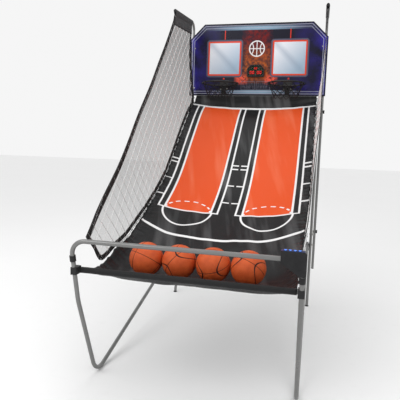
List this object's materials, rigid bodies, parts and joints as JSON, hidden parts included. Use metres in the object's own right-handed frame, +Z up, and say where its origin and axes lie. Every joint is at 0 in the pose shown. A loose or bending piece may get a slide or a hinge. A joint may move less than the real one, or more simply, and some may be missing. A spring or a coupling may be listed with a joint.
{
  "type": "folding basketball hoop machine",
  "caption": "Folding arcade basketball frame with a printed backboard, twin hoops, score unit, sloping cloth return ramp, side nets and a front ball trough.",
  "frame": {"origin": "middle of the whole object on the floor", "axes": "+Z up, players stand at -Y and face +Y, +X to their right"},
  "size_m": [1.077, 2.055, 2.1051],
  "materials": {
    "tube_paint": "satin powder coat",
    "black_plastic": "moulded",
    "black_steel": "satin",
    "zinc": "zinc plated",
    "board_print": "printed film on panel",
    "ramp_fabric": "satin weave, printed",
    "net_fabric": "knotless netting",
    "pocket_fabric": "woven",
    "ball_rubber": "pebbled",
    "pad_rubber": "moulded",
    "lens_plastic": "tinted, clear",
    "circuit_board": "solder mask",
    "digit_display": "moulded",
    "button_plastic": "lit from below",
    "battery_cell": "sleeved",
    "gland_rubber": "moulded"
  },
  "bodies": {
    "rear_frame": {"left_rear_leg": "tube_paint", "right_rear_leg": "tube_paint", "left_upright": "tube_paint", "right_upright": "tube_paint", "rear_foot_caps": "black_plastic", "upright_end_caps": "black_plastic", "net_arm_caps": "black_plastic", "frame_knobs": "black_plastic", "left_score_sensor": "black_plastic", "right_score_sensor": "black_plastic", "score_housing": "black_plastic", "battery_box": "black_plastic", "battery_tray": "black_plastic", "speaker": "black_plastic", "stop_brackets": "black_steel", "board_brackets": "black_steel", "left_hoop": "black_steel", "right_hoop": "black_steel", "side_links": "zinc", "joint_spacers": "zinc", "frame_bolts": "zinc", "pivot_bolts": "zinc", "hoop_bolts": "zinc", "board_screws": "zinc", "backboard": "board_print", "ramp_cloth": "ramp_fabric", "left_side_net": "net_fabric", "right_side_net": "net_fabric", "left_hoop_net": "net_fabric", "right_hoop_net": "net_fabric", "net_pockets": "pocket_fabric", "score_lens": "lens_plastic", "score_circuit_board": "circuit_board", "sensor_circuit_boards": "circuit_board", "score_digits": "digit_display", "batteries": "battery_cell", "score_box_gland": "gland_rubber"},
    "front_frame": {"front_bar": "tube_paint", "left_front_leg": "tube_paint", "right_front_leg": "tube_paint", "leg_collars": "black_plastic", "leg_arm_caps": "black_plastic", "lower_front_bar": "tube_paint", "lower_bar_caps": "black_plastic", "lower_bar_brackets": "black_plastic", "trough_cloth": "ramp_fabric", "control_box_front": "black_plastic", "control_box_back": "black_plastic", "control_circuit_board": "circuit_board", "button_pad": "pad_rubber", "control_box_gland": "gland_rubber"},
    "battery_door": {"battery_door": "black_plastic"},
    "push_button_1": {"push_button_1": "button_plastic"},
    "ball_1": {"ball_1": "ball_rubber"},
    "push_button_2": {"push_button_2": "button_plastic"},
    "ball_2": {"ball_2": "ball_rubber"},
    "push_button_3": {"push_button_3": "button_plastic"},
    "ball_3": {"ball_3": "ball_rubber"},
    "push_button_4": {"push_button_4": "button_plastic"},
    "ball_4": {"ball_4": "ball_rubber"}
  },
  "joints": [
    {"name": "front_frame_fold", "type": "hinge", "parent": "rear_frame", "child": "front_frame", "pos_m": [0, 0.72018, 0.425], "axis": [-1, 0, 0], "range_deg": [0, 78], "deforming": ["ramp_cloth", "left_side_net", "right_side_net"]},
    {"name": "battery_door_pull", "type": "slide", "parent": "rear_frame", "child": "battery_door", "axis": [0, 1, 0], "range_m": [0, 0.03]},
    {"name": "push_button_1_press", "type": "slide", "parent": "front_frame", "child": "push_button_1", "axis": [0, 0, -1], "range_m": [0, 0.002], "stiffness_N_per_m": 600, "springref_m": -0.001},
    {"name": "push_button_2_press", "type": "slide", "parent": "front_frame", "child": "push_button_2", "axis": [0, 0, -1], "range_m": [0, 0.002], "stiffness_N_per_m": 600, "springref_m": -0.001},
    {"name": "push_button_3_press", "type": "slide", "parent": "front_frame", "child": "push_button_3", "axis": [0, 0, -1], "range_m": [0, 0.002], "stiffness_N_per_m": 600, "springref_m": -0.001},
    {"name": "push_button_4_press", "type": "slide", "parent": "front_frame", "child": "push_button_4", "axis": [0, 0, -1], "range_m": [0, 0.002], "stiffness_N_per_m": 600, "springref_m": -0.001},
    {"name": "ball_1_lift", "type": "slide", "parent": "front_frame", "child": "ball_1", "axis": [0, 0, 1], "range_m": [0, 0.3]},
    {"name": "ball_2_lift", "type": "slide", "parent": "front_frame", "child": "ball_2", "axis": [0, 0, 1], "range_m": [0, 0.3]},
    {"name": "ball_3_lift", "type": "slide", "parent": "front_frame", "child": "ball_3", "axis": [0, 0, 1], "range_m": [0, 0.3]},
    {"name": "ball_4_lift", "type": "slide", "parent": "front_frame", "child": "ball_4", "axis": [0, 0, 1], "range_m": [0, 0.3]}
  ]
}
